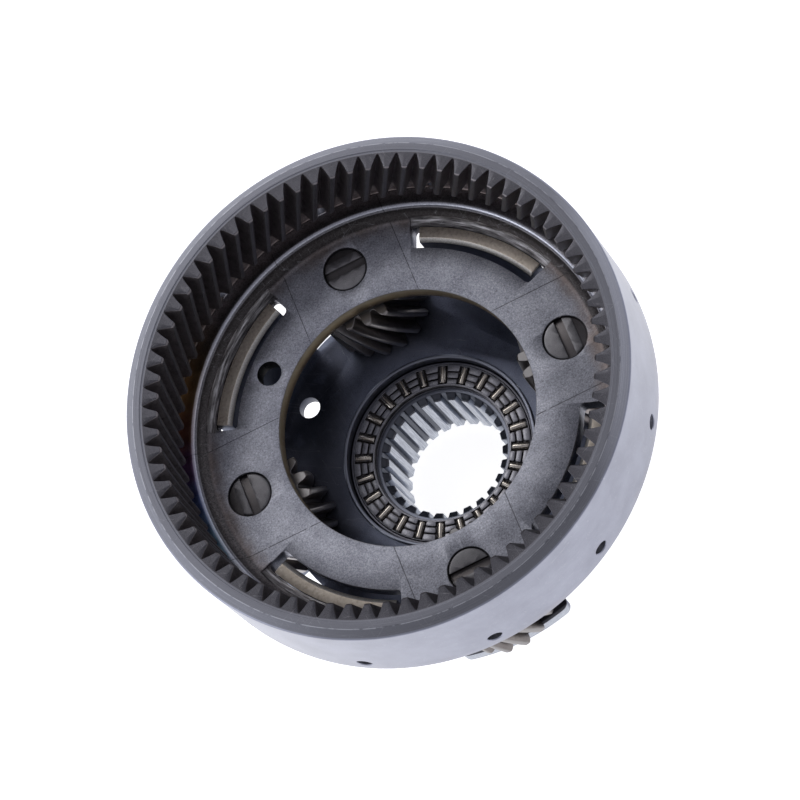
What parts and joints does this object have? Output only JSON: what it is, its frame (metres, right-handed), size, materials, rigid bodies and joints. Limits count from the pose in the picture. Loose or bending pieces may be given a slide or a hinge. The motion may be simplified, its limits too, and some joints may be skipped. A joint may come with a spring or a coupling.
{
  "type": "planetary gear set",
  "caption": "Gearbox planet carrier with helical pinions on needle rollers, a drum with an internal helical ring gear on its open front, and a splined output hub at the rear.",
  "frame": {"origin": "on the gear axis, in the plane of the output hub's free end face, which is the lowest point", "axes": "+Z along the gear axis from the output hub towards the drum's open mouth; +X through the axis of planet pin 1, +Y through planet pin 2"},
  "size_m": [0.135, 0.135, 0.0857],
  "materials": {
    "drum_steel": "turned and ground, oiled",
    "plate_steel": "phosphated grey, finely speckled, heat tint near the weld",
    "stamped_steel": "dark blue-grey stamping, tan leg ends",
    "hub_steel": "turned, blue-grey",
    "race_steel": "hardened, dark satin",
    "cage_steel": "pressed, dark satin",
    "needle_steel": "ground and polished",
    "pin_steel": "hardened, satin",
    "gear_steel": "shaved teeth, satin",
    "washer_steel": "satin"
  },
  "bodies": {
    "carrier": {"ring_gear_drum": "drum_steel", "front_carrier_plate": "plate_steel", "rear_carrier": "stamped_steel", "output_hub": "hub_steel", "thrust_bearing_race": "race_steel", "planet_pin_1": "pin_steel", "pinion_washer_front_1": "washer_steel", "pinion_washer_rear_1": "washer_steel", "planet_pin_2": "pin_steel", "pinion_washer_front_2": "washer_steel", "pinion_washer_rear_2": "washer_steel", "planet_pin_3": "pin_steel", "pinion_washer_front_3": "washer_steel", "pinion_washer_rear_3": "washer_steel", "planet_pin_4": "pin_steel", "pinion_washer_front_4": "washer_steel", "pinion_washer_rear_4": "washer_steel"},
    "planet_1": {"planet_pinion_1": "gear_steel"},
    "planet_2": {"planet_pinion_2": "gear_steel"},
    "planet_3": {"planet_pinion_3": "gear_steel"},
    "planet_4": {"planet_pinion_4": "gear_steel"},
    "rollers_1": {"pinion_rollers_1": "needle_steel"},
    "rollers_2": {"pinion_rollers_2": "needle_steel"},
    "rollers_3": {"pinion_rollers_3": "needle_steel"},
    "rollers_4": {"pinion_rollers_4": "needle_steel"},
    "thrust_cage": {"thrust_bearing_cage": "cage_steel", "thrust_bearing_needles": "needle_steel"}
  },
  "joints": [
    {"name": "planet_spin_1", "type": "hinge", "parent": "carrier", "child": "planet_1", "pos_m": [0.0463, 0, 0.03985], "axis": [0, 0, 1], "continuous": true},
    {"name": "planet_spin_2", "type": "hinge", "parent": "carrier", "child": "planet_2", "pos_m": [0, 0.0463, 0.03985], "axis": [0, 0, 1], "continuous": true},
    {"name": "planet_spin_3", "type": "hinge", "parent": "carrier", "child": "planet_3", "pos_m": [-0.0463, 0, 0.03985], "axis": [0, 0, 1], "continuous": true},
    {"name": "planet_spin_4", "type": "hinge", "parent": "carrier", "child": "planet_4", "pos_m": [0, -0.0463, 0.03985], "axis": [0, 0, 1], "continuous": true},
    {"name": "roller_orbit_1", "type": "hinge", "parent": "carrier", "child": "rollers_1", "pos_m": [0.0463, 0, 0.03985], "axis": [0, 0, 1], "continuous": true},
    {"name": "roller_orbit_2", "type": "hinge", "parent": "carrier", "child": "rollers_2", "pos_m": [0, 0.0463, 0.03985], "axis": [0, 0, 1], "continuous": true},
    {"name": "roller_orbit_3", "type": "hinge", "parent": "carrier", "child": "rollers_3", "pos_m": [-0.0463, 0, 0.03985], "axis": [0, 0, 1], "continuous": true},
    {"name": "roller_orbit_4", "type": "hinge", "parent": "carrier", "child": "rollers_4", "pos_m": [0, -0.0463, 0.03985], "axis": [0, 0, 1], "continuous": true},
    {"name": "thrust_bearing_spin", "type": "hinge", "parent": "carrier", "child": "thrust_cage", "pos_m": [0, 0, 0.02545], "axis": [0, 0, 1], "continuous": true}
  ],
  "couplings": [
    {"joint": "roller_orbit_1", "follows": "planet_spin_1", "ratio": 0.5761},
    {"joint": "roller_orbit_2", "follows": "planet_spin_2", "ratio": 0.5761},
    {"joint": "roller_orbit_3", "follows": "planet_spin_3", "ratio": 0.5761},
    {"joint": "roller_orbit_4", "follows": "planet_spin_4", "ratio": 0.5761}
  ]
}
